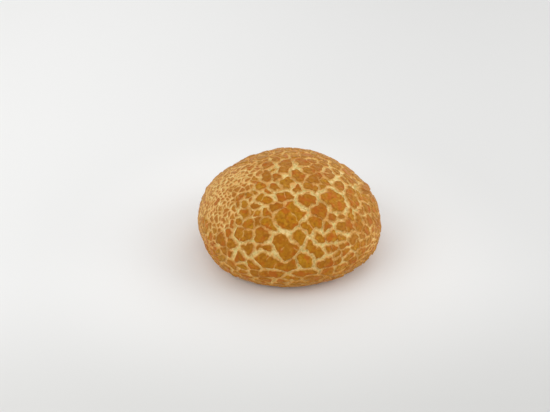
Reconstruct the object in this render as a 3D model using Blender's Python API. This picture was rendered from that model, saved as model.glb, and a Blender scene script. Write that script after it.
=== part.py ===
"""Tiger bread roll: a round, domed bun whose baked rice-paste coat has cracked into plates.

The roll is one solid. A smooth bun form is worked out along every direction from the centre of its
waist, and the crackle lowers the surface in the cracks between the plates. Metres, +Z up, with the
origin under the middle of the roll on the surface it stands on. The front of the roll faces -Y.
"""

import math

import bmesh
import bpy
import numpy as np

MM = 0.001

# The bun: one half above its waist, the widest level, and one half below, cut flat to stand on.
BREADTH = 110 * MM
WAIST_HEIGHT = 17 * MM
DOME_RISE = 39.0 * MM
DOME_FULLNESS = 1.88
HEEL_DROP = 26 * MM
HEEL_FULLNESS = 2.2
FOOT_ROUNDING = 4 * MM
# Directions that point up never meet the foot: its distance is set far outside the bun.
NO_FOOT = 10.0

# Where a hand-shaped bun is fuller or flatter: bearing and tilt in degrees, spread in degrees, height.
# A bearing turns from the front towards +X, and a tilt is measured from straight up.
SWELLS = (
    (110, 72, 26, -1.4 * MM),
    (-138, 52, 17, -1.5 * MM),
    (-106, 70, 14, 0.9 * MM),
    (-60, 40, 26, 0.6 * MM),
    (172, 46, 18, 0.6 * MM),
    (64, 100, 16, 1.6 * MM),
    (-70, 98, 11, -1.6 * MM),
    (100, 60, 5, -1.1 * MM),
)
LUMP_SCALE = 42 * MM
LUMP_HEIGHT = 0.9 * MM
# Noise is defined this far from the origin, which takes in the bun and its stretched lower part.
NOISE_REACH = 75 * MM
# The swells and lumps carry the roll's middle this far from the line through its waist's centre.
OFF_MIDDLE = np.array([0.5 * MM, 0.41 * MM, 0])

# The size that plates grow to, and the regions where they stay smaller or grow larger:
# bearing, tilt and spread in degrees, then the size there.
PLATE_SIZE = 7.7 * MM
SIZE_REGIONS = (
    (4, 84, 32, 9.6 * MM),
    (-72, 57, 42, 2.2 * MM),
    (62, 83, 16, 3.3 * MM),
    (172, 48, 28, 4.2 * MM),
    (128, 80, 24, 10.0 * MM),
)
# The plates of the front. Each line is one plate: how far it lifts in mm, then the lobes that it grew
# together from, each with its bearing and tilt in degrees and its breadth in mm.
MAIN_PLATES = (
    (0.1, (-2, 57, 14), (7, 53, 9), (3, 46, 6)),
    (0, (-10, 40, 6), (1, 39, 6)),
    (0, (-13, 49, 5.5)),
    (0, (20, 43, 11)),
    (0.3, (47, 47, 13), (46, 56, 12)),
    (0, (28, 55, 9.5)),
    (0, (35, 60, 5), (44, 61, 6)),
    (0, (-30, 44, 6.5), (-23, 44, 7)),
    (0, (-20, 32, 6.5)),
    (0, (-25, 22, 7)),
    (0, (-3, 26, 8.5)),
    (0, (-52, 2, 9), (-24, 13, 6)),
    (0, (-156, 11, 6)),
    (0, (172, 23, 8)),
    (0, (-162, 27, 8)),
    (0.1, (136, 24, 9), (126, 29, 7)),
    (0.1, (98, 12, 9)),
    (0.1, (-82, 18, 10)),
    (0, (-125, 27, 8)),
    (0, (-39, 35, 8)),
    (0, (-40, 27, 6.5), (-56, 23, 4.5)),
    (0, (-64, 27, 3.4)),
    (0.1, (27, 19, 8.5)),
    (0, (60, 19, 5)),
    (0, (47, 29, 7.5), (60, 29, 5)),
    (0.2, (86, 33, 8), (74, 36, 8)),
    (0, (107, 44, 6.5)),
    (0.1, (104, 52, 8)),
    (0, (70, 45, 8.5)),
    (0, (89, 25, 6)),
    (0, (31, 33, 7), (36, 35, 5.5)),
    (0, (47, 38, 5.5)),
    (0.1, (93, 49, 6), (89, 54, 7)),
    (0, (72, 55, 6.5), (67, 58, 5.5), (64, 61, 7)),
    (2.2, (86, 62, 7), (97, 67, 7)),
    (0.3, (85, 74, 7)),
    (0, (71, 70, 6.5)),
    (0, (66, 76, 6)),
    (0, (57, 69, 6.5), (54, 73, 7)),
    (0, (58, 79, 5.5)),
    (0, (40, 68, 7), (45, 69, 6.5)),
    (0, (28, 65, 7.5)),
    (0.1, (21, 69, 9), (30, 71, 9), (36, 73, 6.5)),
    (0, (15, 63, 7), (21, 61, 8.5)),
    (0, (7, 68, 7.5)),
    (0.1, (-5, 71, 11.5), (-1, 76, 11.5), (2, 72, 7)),
    (0.1, (-18, 68, 9.8)),
    (0, (-34, 70, 7.5), (-28, 70, 7.5)),
    (0, (-37, 77, 8.5)),
    (0.1, (-46, 78, 8)),
    (0.1, (-25, 77, 9)),
    (0, (-18, 77, 5.5), (-14, 75, 5.5)),
    (0, (14, 75, 8.5), (19, 79, 8.5)),
    (0, (10, 81, 10)),
    (0.1, (-16, 81, 9.5), (-10, 82, 8), (-4, 84, 7.5), (1, 84, 7)),
    (0, (-30, 84, 9)),
    (0, (-21, 86, 6.5)),
    (0, (-36, 83, 6)),
    (0, (25, 77, 5), (29, 79, 5)),
    (0, (30, 82, 5.5)),
    (0, (19, 85, 7), (24, 85, 7), (30, 86, 6.5)),
    (0, (-19, 92, 7), (-14, 92, 7.5), (-7, 91, 6)),
    (0, (-1, 93, 6), (4, 94, 6)),
    (0, (7, 90, 7.5), (14, 90, 7)),
    (0, (-37, 90, 6.5), (-33, 92, 6.5)),
    (0, (-28, 93, 6.5)),
    (0, (-17, 60, 6), (-12, 62, 5.5)),
    (0, (-19, 53, 5)),
    (0, (-24, 59, 4.4)),
    (0, (-30, 63, 6)),
    (0, (-38, 64, 4.6)),
    (0, (-42, 67, 4)),
    (0, (-37, 58, 5.6)),
    (0, (-31, 51, 4.6)),
    (0, (-27, 55, 4)),
    (0, (-44, 46, 5)),
    (0, (-42, 52, 4.4)),
    (0, (-48, 59, 3.8)),
    (0, (-64, 37, 3.8)),
    (0, (-88, 32, 6)),
    (0, (-60, 47, 3.8)),
    (0.3, (-67, 78, 9), (-63, 80, 8)),
    (0.1, (-56, 82, 6)),
    (0, (-41, 72, 5)),
    (0.9, (-58, 90, 6)),
    (0.3, (-50, 89, 7)),
    (0, (36, 79, 4)),
    (0, (36, 83, 4)),
    (0, (45, 78, 4)),
)
# The plates of the rest are drawn at random: how far their size varies, how closely their seeds stand,
# how far a large one outdoes a small one, and how many join the plate beside them.
SIZE_SPREAD, SIZE_DRIFT, DRIFT_SCALE = 0.16, 0.22, 9 * MM
SEED_SPACING, SEED_PULL = 0.88, 0.45
JOINED = 0.22
LARGEST_PLATE = 17 * MM
# Seeds are drawn down to this height, where straight up is 1 and the waist 0.
LOWEST_SEED = -0.62
# Near the foot the coat slid down, so the plates there are low and long.
DRAWN_BELOW, DRAWN_OVER, DRAWN_OUT = 26 * MM, 14 * MM, 1.1

# The cracks: their width beside the finest plates, how it grows with plate size, and its variation.
NARROWEST_CRACK, THINNEST_CRACK = 0.5 * MM, 0.44 * MM
CRACK_SHARE = 0.09
FINE_PLATE = 3 * MM
GAPE = (0.6, 1.6)
WIDTH_DRIFT, WIDTH_SCALE = 0.5, 3.2 * MM
# Low on the roll, where the coat slid down, the cracks are wider by this share.
WIDER_AT_FOOT = 0.3
CORNER_ROUNDING = 0.25 * MM
ACROSS_CRACK = 0.6 * MM
WANDER, WANDER_SCALE = 0.75 * MM, 4.5 * MM
# How many of the nearest seeds can have a say in where a point's crack lies, and how far inside its
# plate a point counts as lying where all of those belong to the plate.
NEIGHBOURS = 9
DEEP_INSIDE = 12 * MM
# Where the coat tore wide open: bearing, tilt and spread in degrees, then the extra width there.
WIDE_SPOTS = (
    (-3, 63.5, 4, 1.6 * MM),
    (13, 34, 5, 0.7 * MM),
    (12, 69, 4, 0.8 * MM),
    (30, 47, 4, 0.8 * MM),
    (10, 21, 6, 0.8 * MM),
    (-55, 9, 6, 0.6 * MM),
    (28, 6, 6, 0.6 * MM),
    (59, 55, 6, 0.8 * MM),
    (-15, 73, 4, 0.4 * MM),
    (-29, 79, 5, 0.6 * MM),
    (-15, 36, 5, 0.6 * MM),
    (68, 66, 5, 0.5 * MM),
    (95, 45, 6, 0.8 * MM),
    (78, 58, 13, 0.3 * MM),
    (180, 30, 24, 0.35 * MM),
)

# The relief: how deep a crack lies under its plates, from the finest plates to the coarse ones.
DEEPEST = 1.3 * MM
SHALLOWEST_SHARE = 0.3
FINEST, COARSEST = 2.2 * MM, 6.5 * MM
# A plate's shoulder is this wide, and this share of its height is reached at the crack's edge.
SHOULDER, HEIGHT_AT_EDGE = 0.8 * MM, 0.4
PLATE_UNEVENNESS, PLATE_TILT = 0.24 * MM, 0.02
LOWEST_TOP, HIGHEST_TOP = -0.35 * MM, 2.2 * MM
# The coat ends where the roll turns under, at this tilt in degrees.
COAT_ENDS, COAT_FADES = 113, 8

SEED = 20
CANDIDATES = 14000
SURFACE_SUBDIVISIONS = 8
TRIANGLES = 11400
CRUST_COLOUR = (0.47, 0.19, 0.035, 1.0)
CRUST_ROUGHNESS = 0.62
NODE = "tiger_bread_roll"


def direction(bearing, tilt):
    """Unit vector at a bearing from the front and a tilt from straight up, in degrees."""
    b, t = math.radians(bearing), math.radians(tilt)
    return np.array([math.sin(t) * math.sin(b), -math.sin(t) * math.cos(b), math.cos(t)])


def angle_from(directions, bearing, tilt):
    """Angle in degrees between each direction and the one at this bearing and tilt."""
    return np.degrees(np.arccos(np.clip(directions @ direction(bearing, tilt), -1, 1)))


def smooth_step(low, high, values):
    """0 below low and 1 above high, with a soft S between them."""
    t = np.clip((values - low) / (high - low), 0, 1)
    return t * t * (3 - 2 * t)


def lattice_noise(points, scale, seed, channels=1):
    """Random values from -1 to 1 on a cubic lattice of this scale, blended smoothly in between."""
    count = int(2 * NOISE_REACH / scale) + 3
    lattice = np.random.default_rng(seed).uniform(-1, 1, (count, count, count, channels))
    corner = np.array([NOISE_REACH, NOISE_REACH, NOISE_REACH / 2])
    place = np.clip((points + corner) / scale, 0, count - 2)
    cell = place.astype(int)
    blend = place - cell
    blend = blend * blend * (3 - 2 * blend)
    total = 0
    for step in np.ndindex(2, 2, 2):
        share = np.prod(np.where(step, blend, 1 - blend), axis=1)
        i, j, k = (cell + step).T
        total = total + share[:, None] * lattice[i, j, k]
    return total if channels > 1 else total[:, 0]


def bun_points(directions):
    """Points of the smooth bun: above and below the waist, (across / half breadth) ** fullness plus
    (up / reach) ** fullness is 1. The swells and lumps are added, and the flat foot cuts it off."""
    across, up = np.hypot(directions[:, 0], directions[:, 1]), directions[:, 2]
    fullness = np.where(up > 0, DOME_FULLNESS, HEEL_FULLNESS)
    reach = np.where(up > 0, DOME_RISE, HEEL_DROP)
    sides = (across / (BREADTH / 2)) ** fullness + (np.abs(up) / reach) ** fullness
    radius = sides ** (-1 / fullness)
    for bearing, tilt, spread, height in SWELLS:
        radius = radius + height * np.exp(-0.5 * (angle_from(directions, bearing, tilt) / spread) ** 2)
    radius = radius + LUMP_HEIGHT * lattice_noise(directions * BREADTH / 2, LUMP_SCALE, SEED + 1)
    foot = np.where(up < 0, WAIST_HEIGHT / np.maximum(-up, 1e-6), NO_FOOT)
    mix = np.clip(0.5 + 0.5 * (foot - radius) / FOOT_ROUNDING, 0, 1)
    radius = foot + (radius - foot) * mix - FOOT_ROUNDING * mix * (1 - mix)
    return directions * radius[:, None] + [0, 0, WAIST_HEIGHT]


def plate_size(directions, points):
    """The size that plates have here, blended between the regions and varied at random."""
    size = np.full(len(directions), math.log(PLATE_SIZE))
    for bearing, tilt, spread, there in SIZE_REGIONS:
        weight = np.exp(-((angle_from(directions, bearing, tilt) / spread) ** 3))
        size += weight * (math.log(there) - size)
    return np.exp(size + SIZE_DRIFT * lattice_noise(points, DRIFT_SCALE, SEED + 2))


def drawn_down(points):
    """The points with their lower part stretched in height, so that even cells there come out low."""
    below = DRAWN_BELOW - points[:, 2]
    u = np.clip(below / DRAWN_OVER, 0, 1)
    extra = DRAWN_OVER * (u**3 - u**4 / 2) + np.maximum(below - DRAWN_OVER, 0)
    return points - np.outer(DRAWN_OUT * extra, [0, 0, 1])


def scatter(places, spacings, first):
    """Indices of places no closer together than their mean spacing. The first ones are all kept."""
    kept = np.arange(first)
    chosen, reach = places[:first], spacings[:first]
    for index in range(first, len(places)):
        gap = np.linalg.norm(chosen - places[index], axis=1)
        if (gap > 0.5 * (reach + spacings[index])).all():
            kept = np.append(kept, index)
            chosen, reach = places[kept], spacings[kept]
    return kept


def random_directions(rng):
    """Directions spread evenly over the bun, down to the lowest one that can be a seed."""
    spin = rng.uniform(0, 2 * math.pi, CANDIDATES)
    rise = rng.uniform(LOWEST_SEED, 1, CANDIDATES)
    flat = np.sqrt(1 - rise**2)
    return np.stack([flat * np.sin(spin), -flat * np.cos(spin), rise], axis=1)


def make_crackle():
    """The seeds, each with its reach and the plate it belongs to, and each plate's middle, size, lift,
    slope and gape. A plate's size is the root of the sum of its lobes' breadths squared."""
    rng = np.random.default_rng(SEED)
    lobes = np.array([(plate, *lobe) for plate, (_, *parts) in enumerate(MAIN_PLATES) for lobe in parts])
    named = np.array([direction(bearing, tilt) for _, bearing, tilt, _ in lobes])
    directions = np.vstack([named, random_directions(rng)])
    points = bun_points(directions)
    places = drawn_down(points)
    breadth = plate_size(directions, points) * np.exp(rng.normal(0, SIZE_SPREAD, len(points)))
    breadth[: len(named)] = lobes[:, 3] * MM
    kept = scatter(places, SEED_SPACING * breadth, len(named))
    seeds, breadth = places[kept], breadth[kept]
    random_plates = len(MAIN_PLATES) + np.arange(len(kept) - len(named))
    owner = np.concatenate([lobes[:, 0].astype(int), random_plates])
    free = np.arange(len(named), len(kept))
    gap = np.linalg.norm(seeds[free, None] - seeds[None, free], axis=2)
    np.fill_diagonal(gap, np.inf)
    join = rng.uniform(0, 1, len(free)) < JOINED
    owner[free] = np.where(join, owner[free[gap.argmin(1)]], owner[free])
    count = owner.max() + 1
    share = np.bincount(owner, breadth**2, count)
    weight = breadth**2 / share[owner]
    middles = [np.bincount(owner, seeds[:, k] * weight, count) for k in range(3)]
    lift = rng.normal(0, 1, count) * PLATE_UNEVENNESS
    lift[: len(MAIN_PLATES)] = [height * MM for height, *_ in MAIN_PLATES]
    return {
        "seeds": seeds,
        "reach": SEED_PULL * breadth,
        "owner": owner,
        "plates": np.stack(middles, axis=1),
        "size": np.minimum(np.sqrt(share), LARGEST_PLATE),
        "lift": lift,
        "slope": rng.normal(0, PLATE_TILT, (count, 3)),
        "gape": rng.uniform(*GAPE, count),
    }


def nearest(points, seeds, reach, count, tile=9 * MM, margin=19 * MM):
    """Each point's nearest seeds, by distance squared minus reach squared, and those values, worked
    out tile by tile."""
    cell = np.floor(points / tile).astype(int)
    _, tile_of, sizes = np.unique(cell, axis=0, return_inverse=True, return_counts=True)
    order = np.argsort(tile_of.reshape(-1), kind="stable")
    index = np.empty((len(points), count), int)
    square = np.empty((len(points), count))
    for members in np.split(order, np.cumsum(sizes)[:-1]):
        here = points[members]
        low, high = here.min(0) - margin, here.max(0) + margin
        near = np.nonzero(((seeds > low) & (seeds < high)).all(1))[0]
        gap = ((here[:, None] - seeds[near][None]) ** 2).sum(2) - reach[near] ** 2
        pick = np.argpartition(gap, count - 1, axis=1)[:, :count]
        index[members] = near[pick]
        square[members] = np.take_along_axis(gap, pick, axis=1)
    by_distance = np.argsort(square, axis=1, kind="stable")
    return np.take_along_axis(index, by_distance, 1), np.take_along_axis(square, by_distance, 1)


def crack_field(points, crackle):
    """For each point of the smooth bun: how far inside its plate's edge it lies, negative in a crack,
    the plate that it belongs to, and how coarse the plates are here, from 0 to 1."""
    places = drawn_down(points)
    places = places + WANDER * lattice_noise(points, WANDER_SCALE, SEED + 3, 3)
    index, square = nearest(places, crackle["seeds"], crackle["reach"], NEIGHBOURS)
    owner = crackle["owner"][index]
    plate = owner[:, 0]
    seeds = crackle["seeds"][index]
    apart = np.linalg.norm(seeds - seeds[:, :1], axis=2)
    to_edge = (square - square[:, :1]) / np.maximum(2 * apart, 1e-9)
    foreign = owner != plate[:, None]
    share = np.where(foreign, np.exp(-to_edge / CORNER_ROUNDING), 0).sum(1)
    edge = np.where(share > 0, -CORNER_ROUNDING * np.log(np.maximum(share, 1e-12)), DEEP_INSIDE)
    across = np.exp(-to_edge / ACROSS_CRACK)
    across /= across.sum(1, keepdims=True)
    size = (across * crackle["size"][owner]).sum(1)
    gape = (across * crackle["gape"][owner]).sum(1)
    width = (NARROWEST_CRACK + CRACK_SHARE * (size - FINE_PLATE)) * gape
    drift = WIDTH_DRIFT * lattice_noise(points, WIDTH_SCALE, SEED + 4)
    width = np.maximum(width, THINNEST_CRACK) * (1 + drift)
    width *= 1 + WIDER_AT_FOOT * smooth_step(DRAWN_BELOW, DRAWN_BELOW - DRAWN_OVER, points[:, 2])
    outward = points - [0, 0, WAIST_HEIGHT]
    outward = outward / np.linalg.norm(outward, axis=1, keepdims=True)
    for bearing, tilt, spread, extra in WIDE_SPOTS:
        width += extra * np.exp(-0.5 * (angle_from(outward, bearing, tilt) / spread) ** 2)
    return edge - 0.5 * width, plate, smooth_step(FINEST, COARSEST, size)


def relief(points, crackle):
    """Height of the coat over the smooth bun. A plate's shoulder is a straight slope, which a few
    triangles can follow."""
    inside, plate, coarse = crack_field(points, crackle)
    depth = DEEPEST * (SHALLOWEST_SHARE + (1 - SHALLOWEST_SHARE) * coarse)
    shoulder = np.clip(HEIGHT_AT_EDGE + inside / SHOULDER, 0, 1)
    offset = drawn_down(points) - crackle["plates"][plate]
    top = crackle["lift"][plate] + (offset * crackle["slope"][plate]).sum(1)
    top = coarse * np.clip(top, LOWEST_TOP, HIGHEST_TOP)
    return depth * (shoulder - 1) + top * shoulder


def roll_points(directions, crackle):
    """Points of the finished roll, whose coat fades out as it turns under to the flat foot."""
    points = bun_points(directions)
    tilt = np.degrees(np.arccos(np.clip(directions[:, 2], -1, 1)))
    coated = tilt < COAT_ENDS + COAT_FADES
    height = np.zeros(len(points))
    height[coated] = relief(points[coated], crackle)
    height *= 1 - smooth_step(COAT_ENDS - COAT_FADES, COAT_ENDS, tilt)
    return points + directions * height[:, None] - OFF_MIDDLE


def round_mesh(name, subdivisions):
    """An icosphere of radius 1, whose vertices serve as the directions."""
    sphere = bmesh.new()
    bmesh.ops.create_icosphere(sphere, subdivisions=subdivisions, radius=1)
    mesh = bpy.data.meshes.new(name)
    sphere.to_mesh(mesh)
    sphere.free()
    return mesh


def crust_material():
    material = bpy.data.materials.new("baked_crust")
    material.use_nodes = True
    shader = material.node_tree.nodes["Principled BSDF"]
    shader.inputs["Base Color"].default_value = CRUST_COLOUR
    shader.inputs["Roughness"].default_value = CRUST_ROUGHNESS
    return material


def make_roll(collection):
    """The roll, from a fine sphere whose triangles are then spent where the relief needs them."""
    mesh = round_mesh(NODE, SURFACE_SUBDIVISIONS)
    count = len(mesh.vertices)
    directions = np.empty(count * 3, np.float32)
    mesh.vertices.foreach_get("co", directions)
    directions = directions.reshape(-1, 3).astype(float)
    directions /= np.linalg.norm(directions, axis=1, keepdims=True)
    points = roll_points(directions, make_crackle())
    mesh.vertices.foreach_set("co", points.astype(np.float32).ravel())
    mesh.materials.append(crust_material())
    roll = bpy.data.objects.new(NODE, mesh)
    collection.objects.link(roll)
    thin = roll.modifiers.new("spend_triangles", "DECIMATE")
    thin.ratio = TRIANGLES / len(mesh.polygons)
    return roll


def main():
    for obj in list(bpy.data.objects):
        bpy.data.objects.remove(obj)
    collection = bpy.data.collections.new("tiger_bread_roll")
    bpy.context.scene.collection.children.link(collection)
    make_roll(collection)


if __name__ == "__main__":
    main()
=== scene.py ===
# %% [markdown]
# # A tiger bread roll
#
# This lesson dresses one bread roll. Before baking, the baker brushes the dough with a thick paste of
# rice flour, oil and yeast. The dough rises and the paste can't follow, so it cracks into plates that
# bake dark and crisp, while the pale dough shows in the cracks between them. The solid roll with its
# plates is already there. Here its surface is worked out again much finer, with the ragged rims,
# blisters and torn crack floors that the solid leaves out, and it gets its baked colours.

# %% Load the solid roll
import math

import bpy
import numpy as np
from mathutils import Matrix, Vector


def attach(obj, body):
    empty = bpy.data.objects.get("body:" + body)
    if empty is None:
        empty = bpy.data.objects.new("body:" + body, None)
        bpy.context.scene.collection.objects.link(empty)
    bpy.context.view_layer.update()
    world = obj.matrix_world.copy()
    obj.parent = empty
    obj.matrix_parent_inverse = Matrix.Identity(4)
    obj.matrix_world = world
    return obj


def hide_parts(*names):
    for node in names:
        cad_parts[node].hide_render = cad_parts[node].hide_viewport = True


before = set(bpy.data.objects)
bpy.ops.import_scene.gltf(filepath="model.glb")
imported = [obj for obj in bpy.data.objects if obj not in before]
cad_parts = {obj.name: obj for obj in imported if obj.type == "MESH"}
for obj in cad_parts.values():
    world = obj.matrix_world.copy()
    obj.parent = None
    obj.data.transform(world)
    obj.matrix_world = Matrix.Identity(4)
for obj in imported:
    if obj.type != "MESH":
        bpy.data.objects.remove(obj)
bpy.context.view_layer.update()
MM = 0.001

# %% [markdown]
# ## The bun under the coat
#
# A round bun can be turned on a lathe, sculpted, or written as a formula. A formula is chosen, as the
# cracks later need to know the smooth surface exactly. From a point in the middle of the widest level,
# the waist, every direction meets the surface once, so a direction is all that is needed to find a
# point. Directions are given as a bearing, which turns from the front towards +X, and a tilt from
# straight up. Numbers as small as 1e-9 in a formula only keep it from dividing by zero.

# %% Directions
def direction(bearing, tilt):
    """Unit vector at a bearing from the front and a tilt from straight up, in degrees. It goes out
    towards the bearing by the sine of the tilt, and up by its cosine."""
    b, t = math.radians(bearing), math.radians(tilt)
    return np.array([math.sin(t) * math.sin(b), -math.sin(t) * math.cos(b), math.cos(t)])


def angle_from(directions, bearing, tilt):
    """Angle in degrees between each direction and the named one: the arc cosine of their product."""
    return np.degrees(np.arccos(np.clip(directions @ direction(bearing, tilt), -1, 1)))


def smooth_step(low, high, values):
    """0 below low and 1 above high. In between, t squared times (3 minus 2 t)."""
    t = np.clip((values - low) / (high - low), 0, 1)
    return t * t * (3 - 2 * t)


# %% [markdown]
# Nothing baked by hand is even. Lattice noise gives soft unevenness at any scale: random values sit on
# a cubic lattice, and a point takes a smooth blend of the eight values round it.

# %% Soft unevenness
NOISE_REACH = 75 * MM


def lattice_noise(points, scale, seed, channels=1):
    """Random values from -1 to 1 on a cubic lattice of this scale, blended by the products of smooth
    steps along the three axes. The lattice reaches past the roll, half as far down as to the sides."""
    count = int(2 * NOISE_REACH / scale) + 3
    lattice = np.random.default_rng(seed).uniform(-1, 1, (count, count, count, channels))
    place = np.clip((points + [NOISE_REACH, NOISE_REACH, NOISE_REACH / 2]) / scale, 0, count - 2)
    cell = place.astype(int)
    blend = place - cell
    blend = blend * blend * (3 - 2 * blend)
    total = 0
    for corner in np.ndindex(2, 2, 2):
        share = np.prod(np.where(corner, blend, 1 - blend), axis=1)
        i, j, k = (cell + corner).T
        total = total + share[:, None] * lattice[i, j, k]
    return total if channels > 1 else total[:, 0]


# %% The smooth bun
BREADTH = 110 * MM
WAIST_HEIGHT = 17 * MM
# How far the bun goes up and down from its waist. Fullness 2 gives half an ellipse, and less gives a
# more pointed one.
DOME_RISE, DOME_FULLNESS = 39.0 * MM, 1.88
HEEL_DROP, HEEL_FULLNESS = 26 * MM, 2.2
FOOT_ROUNDING = 4 * MM
NO_FOOT = 10.0
# Fuller and flatter places: bearing, tilt and spread in degrees, then height.
SWELLS = (
    (110, 72, 26, -1.4 * MM),
    (-138, 52, 17, -1.5 * MM),
    (-106, 70, 14, 0.9 * MM),
    (-60, 40, 26, 0.6 * MM),
    (172, 46, 18, 0.6 * MM),
    (64, 100, 16, 1.6 * MM),
    (-70, 98, 11, -1.6 * MM),
    (100, 60, 5, -1.1 * MM),
)
LUMP_SCALE, LUMP_HEIGHT = 42 * MM, 0.9 * MM
SEED = 20


def bun_points(directions):
    """Points of the smooth bun. Above and below the waist, (across / half breadth) to the power of
    fullness plus (up / reach) to the same power is 1. Swells are bell curves of the angle from their
    middles. The flat foot cuts the bun off, with a smooth minimum that rounds the edge. For directions
    that point up it counts as metres away, so it cuts nothing."""
    across, up = np.hypot(directions[:, 0], directions[:, 1]), directions[:, 2]
    fullness = np.where(up > 0, DOME_FULLNESS, HEEL_FULLNESS)
    reach = np.where(up > 0, DOME_RISE, HEEL_DROP)
    sides = (across / (BREADTH / 2)) ** fullness + (np.abs(up) / reach) ** fullness
    radius = sides ** (-1 / fullness)
    for bearing, tilt, spread, height in SWELLS:
        radius = radius + height * np.exp(-0.5 * (angle_from(directions, bearing, tilt) / spread) ** 2)
    radius = radius + LUMP_HEIGHT * lattice_noise(directions * BREADTH / 2, LUMP_SCALE, SEED + 1)
    foot = np.where(up < 0, WAIST_HEIGHT / np.maximum(-up, 1e-6), NO_FOOT)
    mix = np.clip(0.5 + 0.5 * (foot - radius) / FOOT_ROUNDING, 0, 1)
    radius = foot + (radius - foot) * mix - FOOT_ROUNDING * mix * (1 - mix)
    return directions * radius[:, None] + [0, 0, WAIST_HEIGHT]


# %% [markdown]
# ## Where the plates are
#
# Cracked paste, dried mud and a giraffe's coat look alike, because each plate keeps what lies nearest
# to its middle. So plate middles are scattered over the bun, no closer than their size allows. The size
# changes from place to place: fine on the left, where the paste was thin, and large in front.

# %% Plate sizes
PLATE_SIZE = 7.7 * MM
# Where plates are finer or coarser: bearing, tilt and spread in degrees, then their size there.
SIZE_REGIONS = (
    (4, 84, 32, 9.6 * MM),
    (-72, 57, 42, 2.2 * MM),
    (62, 83, 16, 3.3 * MM),
    (172, 48, 28, 4.2 * MM),
    (128, 80, 24, 10.0 * MM),
)
SIZE_DRIFT, DRIFT_SCALE = 0.22, 9 * MM


def plate_size(directions, points):
    """The size that plates have here. Its logarithm moves towards that of each region by e to the
    power of minus the cube of (angle / spread), and drifts with soft noise."""
    size = np.full(len(directions), math.log(PLATE_SIZE))
    for bearing, tilt, spread, there in SIZE_REGIONS:
        weight = np.exp(-((angle_from(directions, bearing, tilt) / spread) ** 3))
        size += weight * (math.log(there) - size)
    return np.exp(size + SIZE_DRIFT * lattice_noise(points, DRIFT_SCALE, SEED + 2))


# %% [markdown]
# Near the foot the wet paste slid down and the plates there are low and long. Stretching the space
# that the plates are laid out in does this: cells that are even in the stretched space come out low on
# the bun.

# %% Slid paste
# The level that the paste slid from, the first stretch under it, and the share that points move.
DRAWN_BELOW, DRAWN_OVER, DRAWN_OUT = 26 * MM, 14 * MM, 1.1


def drawn_down(points):
    """The points moved down by a share of their depth under a level. The share grows smoothly over
    the first stretch and then stays."""
    below = DRAWN_BELOW - points[:, 2]
    u = np.clip(below / DRAWN_OVER, 0, 1)
    extra = DRAWN_OVER * (u**3 - u**4 / 2) + np.maximum(below - DRAWN_OVER, 0)
    return points - np.outer(DRAWN_OUT * extra, [0, 0, 1])


# %% [markdown]
# A large plate isn't a neat polygon. It grew together from a few lobes, so its outline has bays and
# corners. Each lobe is a seed with a breadth, and a point belongs to the seed with the least distance
# squared minus reach squared, so that a broad lobe takes more room than a narrow one. The plates in
# front and on top are listed one by one.

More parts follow.
